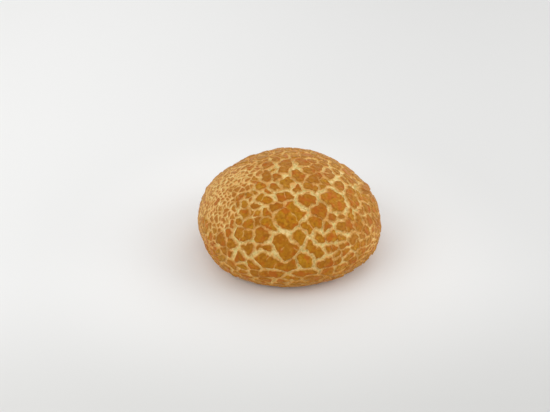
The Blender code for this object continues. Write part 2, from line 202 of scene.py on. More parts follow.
# %% The listed plates
# How far each plate lifts in mm, then its lobes: bearing and tilt in degrees, breadth in mm.
MAIN_PLATES = (
    (0.1, (-2, 57, 14), (7, 53, 9), (3, 46, 6)),
    (0, (-10, 40, 6), (1, 39, 6)),
    (0, (-13, 49, 5.5)),
    (0, (20, 43, 11)),
    (0.3, (47, 47, 13), (46, 56, 12)),
    (0, (28, 55, 9.5)),
    (0, (35, 60, 5), (44, 61, 6)),
    (0, (-30, 44, 6.5), (-23, 44, 7)),
    (0, (-20, 32, 6.5)),
    (0, (-25, 22, 7)),
    (0, (-3, 26, 8.5)),
    (0, (-52, 2, 9), (-24, 13, 6)),
    (0, (-156, 11, 6)),
    (0, (172, 23, 8)),
    (0, (-162, 27, 8)),
    (0.1, (136, 24, 9), (126, 29, 7)),
    (0.1, (98, 12, 9)),
    (0.1, (-82, 18, 10)),
    (0, (-125, 27, 8)),
    (0, (-39, 35, 8)),
    (0, (-40, 27, 6.5), (-56, 23, 4.5)),
    (0, (-64, 27, 3.4)),
    (0.1, (27, 19, 8.5)),
    (0, (60, 19, 5)),
    (0, (47, 29, 7.5), (60, 29, 5)),
    (0.2, (86, 33, 8), (74, 36, 8)),
    (0, (107, 44, 6.5)),
    (0.1, (104, 52, 8)),
    (0, (70, 45, 8.5)),
    (0, (89, 25, 6)),
    (0, (31, 33, 7), (36, 35, 5.5)),
    (0, (47, 38, 5.5)),
    (0.1, (93, 49, 6), (89, 54, 7)),
    (0, (72, 55, 6.5), (67, 58, 5.5), (64, 61, 7)),
    (2.2, (86, 62, 7), (97, 67, 7)),
    (0.3, (85, 74, 7)),
    (0, (71, 70, 6.5)),
    (0, (66, 76, 6)),
    (0, (57, 69, 6.5), (54, 73, 7)),
    (0, (58, 79, 5.5)),
    (0, (40, 68, 7), (45, 69, 6.5)),
    (0, (28, 65, 7.5)),
    (0.1, (21, 69, 9), (30, 71, 9), (36, 73, 6.5)),
    (0, (15, 63, 7), (21, 61, 8.5)),
    (0, (7, 68, 7.5)),
    (0.1, (-5, 71, 11.5), (-1, 76, 11.5), (2, 72, 7)),
    (0.1, (-18, 68, 9.8)),
    (0, (-34, 70, 7.5), (-28, 70, 7.5)),
    (0, (-37, 77, 8.5)),
    (0.1, (-46, 78, 8)),
    (0.1, (-25, 77, 9)),
    (0, (-18, 77, 5.5), (-14, 75, 5.5)),
    (0, (14, 75, 8.5), (19, 79, 8.5)),
    (0, (10, 81, 10)),
    (0.1, (-16, 81, 9.5), (-10, 82, 8), (-4, 84, 7.5), (1, 84, 7)),
    (0, (-30, 84, 9)),
    (0, (-21, 86, 6.5)),
    (0, (-36, 83, 6)),
    (0, (25, 77, 5), (29, 79, 5)),
    (0, (30, 82, 5.5)),
    (0, (19, 85, 7), (24, 85, 7), (30, 86, 6.5)),
    (0, (-19, 92, 7), (-14, 92, 7.5), (-7, 91, 6)),
    (0, (-1, 93, 6), (4, 94, 6)),
    (0, (7, 90, 7.5), (14, 90, 7)),
    (0, (-37, 90, 6.5), (-33, 92, 6.5)),
    (0, (-28, 93, 6.5)),
    (0, (-17, 60, 6), (-12, 62, 5.5)),
    (0, (-19, 53, 5)),
    (0, (-24, 59, 4.4)),
    (0, (-30, 63, 6)),
    (0, (-38, 64, 4.6)),
    (0, (-42, 67, 4)),
    (0, (-37, 58, 5.6)),
    (0, (-31, 51, 4.6)),
    (0, (-27, 55, 4)),
    (0, (-44, 46, 5)),
    (0, (-42, 52, 4.4)),
    (0, (-48, 59, 3.8)),
    (0, (-64, 37, 3.8)),
    (0, (-88, 32, 6)),
    (0, (-60, 47, 3.8)),
    (0.3, (-67, 78, 9), (-63, 80, 8)),
    (0.1, (-56, 82, 6)),
    (0, (-41, 72, 5)),
    (0.9, (-58, 90, 6)),
    (0.3, (-50, 89, 7)),
    (0, (36, 79, 4)),
    (0, (36, 83, 4)),
    (0, (45, 78, 4)),
)
print("listed plates:", len(MAIN_PLATES))

# %% [markdown]
# The rest of the seeds are drawn at random from a seeded generator, so that each run gives the same
# roll. Some of them join the plate of their neighbour.

# %% Scatter the seeds of the plates
# Directions that are tried as seeds. Most of them are too close to another one and drop out.
CANDIDATES = 14000
# The lowest seeds lie a little under the foot's edge, at this cosine of their tilt.
LOWEST_SEED = -0.62


def random_directions(rng):
    """Directions spread evenly all round: equal chances for each turn, and for each rise, which is the
    cosine of the tilt, down to the lowest seed's."""
    spin = rng.uniform(0, 2 * math.pi, CANDIDATES)
    rise = rng.uniform(LOWEST_SEED, 1, CANDIDATES)
    flat = np.sqrt(1 - rise**2)
    return np.stack([flat * np.sin(spin), -flat * np.cos(spin), rise], axis=1)


def scatter(places, spacings, first):
    """Indices of places no closer together than their mean spacing. The first ones are all kept."""
    kept = np.arange(first)
    chosen, reach = places[:first], spacings[:first]
    for index in range(first, len(places)):
        gap = np.linalg.norm(chosen - places[index], axis=1)
        if (gap > 0.5 * (reach + spacings[index])).all():
            kept = np.append(kept, index)
            chosen, reach = places[kept], spacings[kept]
    return kept


# %% Seeds to plates
# How much plates of one place differ in size.
SIZE_SPREAD = 0.16
# Shares of a seed's breadth: how near the next one may lie, and how far it reaches.
SEED_SPACING, SEED_PULL = 0.88, 0.45
# The share of random seeds that join the plate of their neighbour.
JOINED = 0.22
LARGEST_PLATE = 17 * MM
# The least and greatest factor that a plate puts on the width of the cracks round it.
GAPE = (0.6, 1.6)
# How much plates lift and slope at random.
PLATE_UNEVENNESS, PLATE_TILT = 0.24 * MM, 0.02


def make_crackle():
    """The seeds, each with its reach and the plate it belongs to, and each plate's middle, size, lift,
    slope, gape and bake. A plate's size is the root of the sum of its lobes' breadths squared."""
    rng = np.random.default_rng(SEED)
    lobes = np.array([(plate, *lobe) for plate, (_, *parts) in enumerate(MAIN_PLATES) for lobe in parts])
    named = np.array([direction(bearing, tilt) for _, bearing, tilt, _ in lobes])
    directions = np.vstack([named, random_directions(rng)])
    points = bun_points(directions)
    places = drawn_down(points)
    breadth = plate_size(directions, points) * np.exp(rng.normal(0, SIZE_SPREAD, len(points)))
    breadth[: len(named)] = lobes[:, 3] * MM
    kept = scatter(places, SEED_SPACING * breadth, len(named))
    seeds, breadth = places[kept], breadth[kept]
    # A listed seed belongs to its plate. A drawn one is a plate of its own, or joins the nearest one.
    owner = np.concatenate([lobes[:, 0].astype(int), len(MAIN_PLATES) + np.arange(len(kept) - len(named))])
    free = np.arange(len(named), len(kept))
    gap = np.linalg.norm(seeds[free, None] - seeds[None, free], axis=2)
    np.fill_diagonal(gap, np.inf)
    join = rng.uniform(0, 1, len(free)) < JOINED
    owner[free] = np.where(join, owner[free[gap.argmin(1)]], owner[free])
    # A plate's middle is the mean of its seeds, weighted by their breadths squared.
    count = owner.max() + 1
    share = np.bincount(owner, breadth**2, count)
    weight = breadth**2 / share[owner]
    middles = [np.bincount(owner, seeds[:, k] * weight, count) for k in range(3)]
    lift = rng.normal(0, 1, count) * PLATE_UNEVENNESS
    lift[: len(MAIN_PLATES)] = [height * MM for height, *_ in MAIN_PLATES]
    return {
        "seeds": seeds,
        "reach": SEED_PULL * breadth,
        "owner": owner,
        "plates": np.stack(middles, axis=1),
        "size": np.minimum(np.sqrt(share), LARGEST_PLATE),
        "lift": lift,
        "slope": rng.normal(0, PLATE_TILT, (count, 3)),
        "gape": rng.uniform(*GAPE, count),
        "bake": rng.uniform(0, 1, count),
    }


crackle = make_crackle()
print("plates:", len(np.unique(crackle["owner"])), "seeds:", len(crackle["seeds"]))

# %% [markdown]
# ## How far it is to a crack
#
# Everything that shows, the height and the colour alike, follows from one number: how far inside its
# plate's edge a point lies, and below zero how far out in a crack. It is the distance to the plane
# where the nearest seed gives way to the next one of another plate, less half the crack's width.
# Before measuring, the points are pushed about by soft noise on three scales, so that the cracks
# wander and their rims are chipped and ragged.

# %% Nearest seeds
def nearest(points, seeds, reach, count, tile=9 * MM, margin=19 * MM):
    """Each point's nearest seeds, by distance squared minus reach squared, and those values, worked
    out tile by tile from the seeds in the tile and in a margin round it."""
    cell = np.floor(points / tile).astype(int)
    _, tile_of, sizes = np.unique(cell, axis=0, return_inverse=True, return_counts=True)
    order = np.argsort(tile_of.reshape(-1), kind="stable")
    index = np.empty((len(points), count), int)
    square = np.empty((len(points), count))
    for members in np.split(order, np.cumsum(sizes)[:-1]):
        here = points[members]
        low, high = here.min(0) - margin, here.max(0) + margin
        near = np.nonzero(((seeds > low) & (seeds < high)).all(1))[0]
        gap = ((here[:, None] - seeds[near][None]) ** 2).sum(2) - reach[near] ** 2
        pick = np.argpartition(gap, count - 1, axis=1)[:, :count]
        index[members] = near[pick]
        square[members] = np.take_along_axis(gap, pick, axis=1)
    by_distance = np.argsort(square, axis=1, kind="stable")
    return np.take_along_axis(index, by_distance, 1), np.take_along_axis(square, by_distance, 1)


# %% [markdown]
# Cracks are wider between large plates, which shrank more, and each plate gapes a little more or less
# than the others. In a few places the coat tore wide open.

# %% Widths of cracks
# A crack beside fine plates has the first width, and coarser plates add a share of their extra size.
NARROWEST_CRACK, THINNEST_CRACK = 0.5 * MM, 0.44 * MM
CRACK_SHARE, FINE_PLATE = 0.09, 3 * MM
WIDTH_DRIFT, WIDTH_SCALE = 0.7, 3.2 * MM
WIDER_AT_FOOT = 0.3
# Where the coat tore wide open: bearing, tilt and spread in degrees, then the extra width there.
WIDE_SPOTS = (
    (-3, 63.5, 4, 1.6 * MM),
    (13, 34, 5, 0.7 * MM),
    (12, 69, 4, 0.8 * MM),
    (30, 47, 4, 0.8 * MM),
    (10, 21, 6, 0.8 * MM),
    (-55, 9, 6, 0.6 * MM),
    (28, 6, 6, 0.6 * MM),
    (59, 55, 6, 0.8 * MM),
    (-15, 73, 4, 0.4 * MM),
    (-29, 79, 5, 0.6 * MM),
    (-15, 36, 5, 0.6 * MM),
    (68, 66, 5, 0.5 * MM),
    (95, 45, 6, 0.8 * MM),
    (78, 58, 13, 0.3 * MM),
    (180, 30, 24, 0.35 * MM),
)


def crack_width(points, size, gape):
    """The narrowest width plus a share of how much the size is over a fine plate's, times the gape,
    but no less than the thinnest, times 1 plus a drift. It grows towards the foot, and at the wide
    spots by bell curves of the angle from their middles."""
    width = (NARROWEST_CRACK + CRACK_SHARE * (size - FINE_PLATE)) * gape
    drift = WIDTH_DRIFT * lattice_noise(points, WIDTH_SCALE, SEED + 4)
    width = np.maximum(width, THINNEST_CRACK) * (1 + drift)
    width *= 1 + WIDER_AT_FOOT * smooth_step(DRAWN_BELOW, DRAWN_BELOW - DRAWN_OVER, points[:, 2])
    outward = points - [0, 0, WAIST_HEIGHT]
    outward = outward / np.linalg.norm(outward, axis=1, keepdims=True)
    for bearing, tilt, spread, extra in WIDE_SPOTS:
        width += extra * np.exp(-0.5 * (angle_from(outward, bearing, tilt) / spread) ** 2)
    return width


# %% [markdown]
# Here and there the coat also tore a little way in between two lobes of one plate. Such a notch is a
# short crack that starts at the plate's edge and closes further in.

# %% Notches
# A notch keeps its width for a fifth of its reach inwards, and then closes over one reach.
NOTCH_WIDTH, NOTCH_REACH, NOTCH_KEEPS = 0.7 * MM, 2.4 * MM, 1.2
# There are notches where soft noise is over the first value, all open over the second.
NOTCH_SCALE, NOTCHED, NO_NOTCH = 6 * MM, (0.1, 0.6), 2.5 * MM


def notched(points, inside, kin):
    """How far inside its plate a point lies, or less near a notch: the distance to the next lobe less
    half the notch's width, plus a distance that keeps notches away where the coat isn't torn."""
    torn = smooth_step(*NOTCHED, lattice_noise(points, NOTCH_SCALE, SEED + 6))
    torn = torn * np.clip(NOTCH_KEEPS - inside / NOTCH_REACH, 0, 1)
    return np.minimum(inside, kin - 0.5 * NOTCH_WIDTH * torn + NO_NOTCH * (1 - torn))


# %% The crack field
NEIGHBOURS = 9
# Distances that count where no other plate, or no other lobe, is near.
DEEP_INSIDE, FAR_AWAY = 12 * MM, 1000 * MM
# How far the three noises push the points, and how wide their waves are.
WANDER, WANDER_SCALE = 0.75 * MM, 4.5 * MM
CHIPPED, CHIPPED_SCALE = 0.95 * MM, 2.3 * MM
RAGGED, RAGGED_SCALE = 0.5 * MM, 1.2 * MM
# The rounding of corners, and how softly sizes blend from plate to plate across a crack.
CORNER_ROUNDING, ACROSS_CRACK = 0.25 * MM, 0.6 * MM


def crack_field(points):
    """For each point of the smooth bun: how far inside its plate's edge it lies, its plate, the size
    of the plates here, how far it is to the next lobe of its own plate, and the crack's width. Corners
    are rounded by summing e to the power of minus each distance over the rounding and taking the
    logarithm back. Size and gape are means over the seeds on both sides of the crack, each weighted by
    e to the power of minus its distance over the blend."""
    places = drawn_down(points)
    places = places + WANDER * lattice_noise(points, WANDER_SCALE, SEED + 3, 3)
    places = places + CHIPPED * lattice_noise(points, CHIPPED_SCALE, SEED + 5, 3)
    places = places + RAGGED * lattice_noise(points, RAGGED_SCALE, SEED + 11, 3)
    index, square = nearest(places, crackle["seeds"], crackle["reach"], NEIGHBOURS)
    owner = crackle["owner"][index]
    plate = owner[:, 0]
    # How far it is to the plane between two seeds: the difference of their values over twice the
    # distance between them.
    seeds = crackle["seeds"][index]
    apart = np.linalg.norm(seeds - seeds[:, :1], axis=2)
    to_edge = (square - square[:, :1]) / np.maximum(2 * apart, 1e-9)
    foreign = owner != plate[:, None]
    share = np.where(foreign, np.exp(-to_edge / CORNER_ROUNDING), 0).sum(1)
    edge = np.where(share > 0, -CORNER_ROUNDING * np.log(np.maximum(share, 1e-12)), DEEP_INSIDE)
    across = np.exp(-to_edge / ACROSS_CRACK)
    across /= across.sum(1, keepdims=True)
    size = (across * crackle["size"][owner]).sum(1)
    gape = (across * crackle["gape"][owner]).sum(1)
    width = crack_width(points, size, gape)
    # Kin are the other lobes of the same plate.
    kin = np.where(foreign | (apart == 0), FAR_AWAY, to_edge).min(1)
    inside = notched(points, edge - 0.5 * width, kin)
    return inside, plate, size, kin, width


# %% [markdown]
# ## The height of the coat
#
# A plate is a flake about a millimetre thick. Its wall rises steeply out of the crack, its rim curls up
# a little, where it dried first, and its top has blisters from steam. The crack's floor is torn dough,
# rough on a finer scale. Fine plates are thinner flakes than coarse ones. At the foot the coat thins out
# to nothing.

# %% Relief
# How deep cracks are between coarse plates, and the share of that between the finest.
DEEPEST, SHALLOWEST_SHARE = 1.15 * MM, 0.4
FINEST, COARSEST = 2.2 * MM, 6.5 * MM
LOWEST_TOP, HIGHEST_TOP = -0.35 * MM, 2.2 * MM
# The breadth of a plate's wall, which lies partly in the crack and partly under the plate's rim.
SHOULDER = 1.25 * MM
WALL_STARTS, WALL_ENDS = -0.55 * SHOULDER, 0.45 * SHOULDER
CURL, CURL_AT, CURL_WIDTH = 0.13 * MM, 0.95 * MM, 0.6 * MM
BLISTER, BLISTER_SCALE = 0.25 * MM, 2.2 * MM
GRIT, GRIT_SCALE = 0.07 * MM, 0.9 * MM
TORN_FLOOR, TORN_SCALE = 0.24 * MM, 1.3 * MM


def relief(points, inside, plate, size):
    """Height over the smooth bun: minus the crack's depth times (1 minus the wall), plus the plate's
    own lift and slope, a bell-shaped curl near the rim, blisters, grit and a rough crack floor. All but
    the grit grow with the plates' size, from the finest to the coarsest."""
    coarse = smooth_step(FINEST, COARSEST, size)
    depth = DEEPEST * (SHALLOWEST_SHARE + (1 - SHALLOWEST_SHARE) * coarse)
    wall = smooth_step(WALL_STARTS, WALL_ENDS, inside)
    offset = drawn_down(points) - crackle["plates"][plate]
    top = crackle["lift"][plate] + (offset * crackle["slope"][plate]).sum(1)
    top = coarse * np.clip(top, LOWEST_TOP, HIGHEST_TOP)
    curl = CURL * coarse * np.exp(-(((inside - CURL_AT) / CURL_WIDTH) ** 2))
    blister = BLISTER * coarse * lattice_noise(points, BLISTER_SCALE, SEED + 12)
    grit = GRIT * lattice_noise(points, GRIT_SCALE, SEED + 13)
    floor = TORN_FLOOR * lattice_noise(points, TORN_SCALE, SEED + 14)
    return depth * (wall - 1) + (top + curl + blister + grit) * wall + floor * (1 - wall) * coarse


# %% [markdown]
# ## From a square sheet to a bun
#
# The coat is one sheet, so it is worked out on one square grid of points, wrapped over the bun. Squares
# on the sheet become rings on the bun: the distance to the sheet's middle, counted as on a square,
# gives the tilt, and the place along the square gives the bearing. The tilts are spaced so that every
# cell of the grid covers the same area of crust, and there is no pole where cells crowd together.

# %% The sheet
# Points along a side of each quarter, and of the whole sheet, whose quarters share its middle lines.
QUARTER = 315
SHEET = 2 * QUARTER - 1
# The tilt of the sheet's edge in degrees, and how many tilts the table of areas has.
COAT_TILT, PROFILE_STEPS = 116, 800


def square_rings(count):
    """The ring, from 0 to 1, and the turn in radians of each point of a square sheet. With a and b
    from -1 to 1 across it, the ring is the larger of their sizes, and the turn goes by 45 degrees for
    each half side."""
    a, b = np.meshgrid(np.linspace(-1, 1, count), np.linspace(-1, 1, count))
    ring = np.maximum(np.abs(a), np.abs(b))
    safe = np.maximum(ring, 1e-9)
    from_x_side = np.pi / 4 * b / safe * np.sign(a) + np.where(a < 0, np.pi, 0)
    from_y_side = (np.pi / 2 - np.pi / 4 * a / safe) * np.sign(b)
    return ring, np.where(np.abs(a) >= np.abs(b), from_x_side, from_y_side)


def tilt_of_share():
    """Tables of the share of the coat's area that lies within each tilt, and that tilt. A ring's area
    is its way round times its slant height."""
    tilts = np.linspace(0, COAT_TILT, PROFILE_STEPS)
    t = np.radians(tilts)
    profile = bun_points(np.stack([np.zeros_like(t), -np.sin(t), np.cos(t)], axis=1))
    out, up = -profile[:, 1], profile[:, 2]
    band = np.pi * (out[1:] + out[:-1]) * np.hypot(np.diff(out), np.diff(up))
    area = np.concatenate([[0], np.cumsum(band)])
    return area / area[-1], tilts


ring, turn = square_rings(SHEET)
t = np.radians(np.interp(ring**2, *tilt_of_share()))
sheet = np.stack([np.sin(t) * np.cos(turn), np.sin(t) * np.sin(turn), np.cos(t)], axis=2)
print("points of the sheet:", sheet.shape[0] * sheet.shape[1])

# %% [markdown]
# Where two lobes of a large plate meet at its outline, they leave sharp teeth. Real flakes break
# rounder, so the distance is softened there by a weighted mean over neighbouring points of the sheet,
# first along its columns and then along its rows. Fine plates keep their full sharpness.

# %% Soften the teeth
def softened(values, spread):
    """Each value of a grid as a mean of its neighbours, weighted by a bell curve of this spread in
    cells, cut off after three spreads. The edge of the grid is repeated outwards."""
    reach = int(3 * spread)
    steps = np.arange(-reach, reach + 1)
    weights = np.exp(-0.5 * (steps / spread) ** 2)
    weights /= weights.sum()
    for _ in range(2):
        wide = np.pad(values, ((reach, reach), (0, 0)), mode="edge")
        rows = len(values)
        values = sum(w * wide[reach + k : reach + k + rows] for k, w in zip(steps, weights)).T
    return values


# %% [markdown]
# Last come the coat's finest breaks. Rims are frayed, hairline seams show here and there between the
# lobes of a plate, and towards the foot the coat fades into bare dough along a wandering edge.

# %% Work out the coat
# The spread of the softening in cells, how much it may fill in, and on plates of which sizes.
SOFTEN_CELLS, MOST_FILLED, SOFTENED_SIZES = 1.5, 0.22 * MM, (4 * MM, 9 * MM)
RIM_FRAY, RIM_FRAY_SCALE = 0.24 * MM, 1.0 * MM
# Tilts in degrees: where the coat has ended, over how many it fades, and how far that wanders.
COAT_ENDS, COAT_FADES, END_DRIFT, END_SCALE = 113, 8, 2.5, 7 * MM
HAIRLINE, HAIRLINE_DEPTH = 0.26 * MM, 0.2 * MM
# Seams show where soft noise of this scale is over the first value, fully over the second.
SEAM_SCALE, SEAMED = 3 * MM, (-0.1, 0.4)
# The finished coat's middle lies this far from the bun's, and comes back over the origin.
OFF_MIDDLE = np.array([0.5 * MM, 0.41 * MM, 0])


def coat_surface(directions):
    """Points of the finished coat, and what its finish needs to know about each of them. The distance
    to the crack is softened on coarse plates, but is raised by no more than a little, and frayed. A
    seam is a bell curve of the distance to the next lobe, where soft noise lets it show. The relief,
    less the seams, times (1 minus how bare it is), goes out along each direction."""
    flat = directions.reshape(-1, 3)
    points = bun_points(flat)
    inside, plate, size, kin, width = crack_field(points)
    blurred = softened(inside.reshape(SHEET, SHEET), SOFTEN_CELLS).ravel()
    blurred = np.minimum(blurred, inside + MOST_FILLED)
    inside = inside + smooth_step(*SOFTENED_SIZES, size) * (blurred - inside)
    inside = inside + RIM_FRAY * lattice_noise(points, RIM_FRAY_SCALE, SEED + 17)
    tilt = np.degrees(np.arccos(np.clip(flat[:, 2], -1, 1)))
    fades = COAT_ENDS - COAT_FADES + END_DRIFT * lattice_noise(points, END_SCALE, SEED + 15)
    bare = smooth_step(fades, fades + COAT_FADES, tilt)
    seamed = smooth_step(*SEAMED, lattice_noise(points, SEAM_SCALE, SEED + 19))
    seam = np.exp(-((kin / HAIRLINE) ** 2)) * seamed
    height = (relief(points, inside, plate, size) - HAIRLINE_DEPTH * seam) * (1 - bare)
    facts = {
        "inside_mm": inside / MM,
        "seam": seam,
        "bake": crackle["bake"][plate],
        "size_mm": size / MM,
        "width_mm": width / MM,
        "bare": bare,
    }
    finished = points + flat * height[:, None] - OFF_MIDDLE
    grids = {name: values.reshape(SHEET, SHEET) for name, values in facts.items()}
    return finished.reshape(SHEET, SHEET, 3), grids


coat_points, coat_facts = coat_surface(sheet)
print("coat spans in mm:", (np.ptp(coat_points, axis=(0, 1)) / MM).round(1))

# %% [markdown]
# ## Building meshes from a grid
#
# The sheet is cut along its two middle lines into four quarters, which keeps each mesh at a size that
# other programs handle well. Its faces are quads of four neighbouring points, listed as whole arrays,
# with their corners in the order that turns their front outwards. Each quarter is told the normals of
# the whole sheet, so that the light runs over the cuts as if they weren't there. The quarter's own two
# directions also serve as its UV map.

# %% Faces and normals of a grid
def grid_faces(rows, columns):
    """Quads of a grid: each has the corner (row, column), the next column, the next row of both."""
    corner = (np.arange(rows - 1)[:, None] * columns + np.arange(columns - 1)[None]).ravel()
    return np.stack([corner, corner + 1, corner + columns + 1, corner + columns], axis=1)


def grid_normals(points):
    """Unit normals of a grid: the cross product of the steps along its columns and along its rows."""
    normals = np.cross(np.gradient(points, axis=1), np.gradient(points, axis=0))
    return normals / np.maximum(np.linalg.norm(normals, axis=2, keepdims=True), 1e-12)


# %% Grid to mesh
UV_MARGIN = 0.002


def grid_piece(name, points, normals, facts, flip=False):
    """A smooth shaded mesh object from a grid of points, with one attribute for each fact and a UV map
    that goes from 0 to 1 along rows and columns, less a thin margin. A flipped piece shows its other
    side."""
    rows, columns = points.shape[:2]
    faces = grid_faces(rows, columns)
    faces = faces[:, ::-1] if flip else faces
    mesh = bpy.data.meshes.new(name)
    mesh.from_pydata(points.reshape(-1, 3).tolist(), [], faces.tolist())
    for fact, values in facts.items():
        layer = mesh.attributes.new(fact, "FLOAT", "POINT")
        layer.data.foreach_set("value", values.astype(np.float32).ravel())
    steps = [np.linspace(UV_MARGIN, 1 - UV_MARGIN, count) for count in (columns, rows)]
    across, along = np.meshgrid(*steps)
    uv = np.stack([(1 - across if flip else across).ravel(), along.ravel()], axis=1)
    corners = np.empty(len(mesh.loops), np.int32)
    mesh.loops.foreach_get("vertex_index", corners)
    mesh.uv_layers.new(name="OFBake").uv.foreach_set("vector", uv[corners].astype(np.float32).ravel())
    mesh.polygons.foreach_set("use_smooth", np.ones(len(mesh.polygons), bool))
    mesh.normals_split_custom_set_from_vertices((-normals if flip else normals).reshape(-1, 3).tolist())
    mesh.update()
    obj = bpy.data.objects.new(name, mesh)
    bpy.context.scene.collection.objects.link(obj)
    return obj


# %% [markdown]
# The foot is flat and needs fewer points, one for every four of the coat's along their common rim. The
# coat's points in between are moved onto the straight lines that the foot's edges follow.

# %% The coat's rim
FOOT_STEP = 4
FOOT_SHEET = (SHEET - 1) // FOOT_STEP + 1


def straighten_rim(points):
    """Along each side of the sheet, points between every fourth one go onto the straight line between
    those, so that the coarser foot meets the coat without a gap."""
    for view in (points[0], points[-1], points[:, 0], points[:, -1]):
        place = np.arange(len(view))
        for axis in range(3):
            view[:, axis] = np.interp(place, place[::FOOT_STEP], view[::FOOT_STEP, axis])


straighten_rim(coat_points)
coat_normals = grid_normals(coat_points)
print("points along one side of the foot:", FOOT_SHEET)

# %% The coat's four quarters
halves = (slice(0, QUARTER), slice(QUARTER - 1, SHEET))
coat = []
for side, rows in zip(("front", "back"), halves):
    for hand, columns in zip(("left", "right"), halves):
        facts = {name: values[rows, columns] for name, values in coat_facts.items()}
        part = grid_piece(
            "coat_" + side + "_" + hand, coat_points[rows, columns], coat_normals[rows, columns], facts
        )
        coat.append(part)
print("coat quads:", sum(len(part.data.polygons) for part in coat))

# %% [markdown]
# ## The foot
#
# Underneath, the roll stood on the tray and has no paste. The bare dough baked flat and dull brown,
# with shallow hollows where steam was trapped. The foot is a square sheet too, drawn in from the
# coat's edge to a point in the middle.

# %% The bare foot
HOLLOW, HOLLOW_SCALE, HOLLOWED = 0.35 * MM, 6 * MM, (0.1, 0.8)
CREASE, CREASE_SCALE = 0.08 * MM, 1.6 * MM
# Outside this ring the foot levels out towards its rim.
LEVEL_RIM = 0.93


def foot_surface():
    """Each point is the coat's rim at the same turn, drawn in to the point's ring. Inside the rim,
    hollows go up into the roll where soft noise is high, with finer creases."""
    ring, turn = square_rings(FOOT_SHEET)
    _, outer_turn = square_rings(SHEET)
    edge = np.ones((SHEET, SHEET), bool)
    edge[1:-1, 1:-1] = False
    order = np.argsort(outer_turn[edge], kind="stable")
    turns, rim = outer_turn[edge][order], coat_points[edge][order]
    points = np.stack([ring * np.interp(turn, turns, rim[:, k], period=2 * np.pi) for k in range(3)], axis=2)
    flat = points.reshape(-1, 3)
    hollows = HOLLOW * smooth_step(*HOLLOWED, lattice_noise(flat, HOLLOW_SCALE, SEED + 16))
    creases = CREASE * np.abs(lattice_noise(flat, CREASE_SCALE, SEED + 18))
    away = smooth_step(1, LEVEL_RIM, ring.ravel())
    points[..., 2] += ((hollows + creases) * away).reshape(ring.shape)
    return points


foot_points = foot_surface()
foot = grid_piece("bare_foot", foot_points, grid_normals(foot_points), {}, flip=True)
print("foot quads:", len(foot.data.polygons), "middle height in mm:", foot_points[..., 2].max() / MM)

# %% [markdown]
# ## Tools for materials
#
# A material in Blender is a tree of nodes. Written in code, each node is one call: its kind, its
# settings, and what goes into each of its sockets, which is a number, a colour or another node's
# output. Colours are given the way a paint chart gives them, from 0 to 255, and turned into the linear
# light that the renderer counts in.

# %% Node helpers
def chart(red, green, blue):
    """A colour from 0 to 255 as linear light. As a share c of 255 it becomes c over 12.92 where it is
    dark, and elsewhere ((c plus 0.055) over 1.055) to the power of 2.4."""
    c = np.array([red, green, blue]) / 255
    c = np.where(c <= 0.04045, c / 12.92, ((c + 0.055) / 1.055) ** 2.4)
    return (*c.tolist(), 1.0)


def put(tree, kind, sockets, output=0, **settings):
    """Adds a node, fills its sockets and returns one of its outputs. Links go in as they are."""
    node = tree.nodes.new(kind)
    for name, value in settings.items():
        setattr(node, name, value)
    for key, value in sockets.items():
        if isinstance(value, bpy.types.NodeSocket):
            tree.links.new(value, node.inputs[key])
        else:
            node.inputs[key].default_value = value
    return node.outputs[output]


def mix(tree, factor, first, second, blend="MIX"):
    """A colour that goes from the first to the second as the factor goes from 0 to 1."""
    sockets = {0: factor, 6: first, 7: second}
    return put(tree, "ShaderNodeMix", sockets, 2, data_type="RGBA", blend_type=blend)


def ramp(tree, value, low, high, start=0.0, end=1.0):
    """A number that goes smoothly from start to end as the value goes from low to high."""
    sockets = {"Value": value, "From Min": low, "From Max": high, "To Min": start, "To Max": end}
    return put(tree, "ShaderNodeMapRange", sockets, 0, interpolation_type="SMOOTHSTEP")


def stain(tree, first, second, cause, low, high, start=0.0, end=1.0):
    """The first colour with a share of the second over it. The share goes smoothly from start to end
    as the cause goes from low to high."""
    return mix(tree, ramp(tree, cause, low, high, start, end), first, second)


def calculate(tree, operation, first, second):
    """The sum, product or other result of two numbers."""
    return put(tree, "ShaderNodeMath", {0: first, 1: second}, operation=operation)


# %% More node helpers
CLOUD_ROUGHNESS = 0.55


def cloud(tree, place, grain, detail=2.0):
    """Soft noise from 0 to 1 whose blotches are about one grain wide, a length in metres."""
    sockets = {"Vector": place, "Scale": 1 / grain, "Detail": detail, "Roughness": CLOUD_ROUGHNESS}
    return put(tree, "ShaderNodeTexNoise", sockets, "Fac")


def new_group(name, ins, outs):
    """An empty node group with named inputs and outputs, and the nodes that stand for them."""
    tree = bpy.data.node_groups.new(name, "ShaderNodeTree")
    for socket, kind in ins:
        tree.interface.new_socket(socket, in_out="INPUT", socket_type=kind)
    for socket, kind in outs:
        tree.interface.new_socket(socket, in_out="OUTPUT", socket_type=kind)
    return tree, tree.nodes.new("NodeGroupInput"), tree.nodes.new("NodeGroupOutput")


def use_group(tree, group, sockets):
    """Places a node group in a tree and returns its node, for its outputs."""
    node = tree.nodes.new("ShaderNodeGroup")
    node.node_tree = group
    for key, value in sockets.items():
        if isinstance(value, bpy.types.NodeSocket):
            tree.links.new(value, node.inputs[key])
        else:
            node.inputs[key].default_value = value
    return node


# %% [markdown]
# ## Oven mottling and pores
#
# Baked crust is never one brown. The sugar browns in soft blotches a few millimetres wide, with
# freckles inside them, and its skin has fine pores and tiny blisters. Both the coat and the bare foot
# show this, so each effect is a node group that takes its size as an input and is used in each
# material with its own values. Detail is how many finer layers a noise gets on top of its blotches.

# %% Mottling
VALUE, COLOUR, PLACE = "NodeSocketFloat", "NodeSocketColor", "NodeSocketVector"
BLOTCH_DETAIL, FRECKLE_DETAIL = 2.0, 1.5

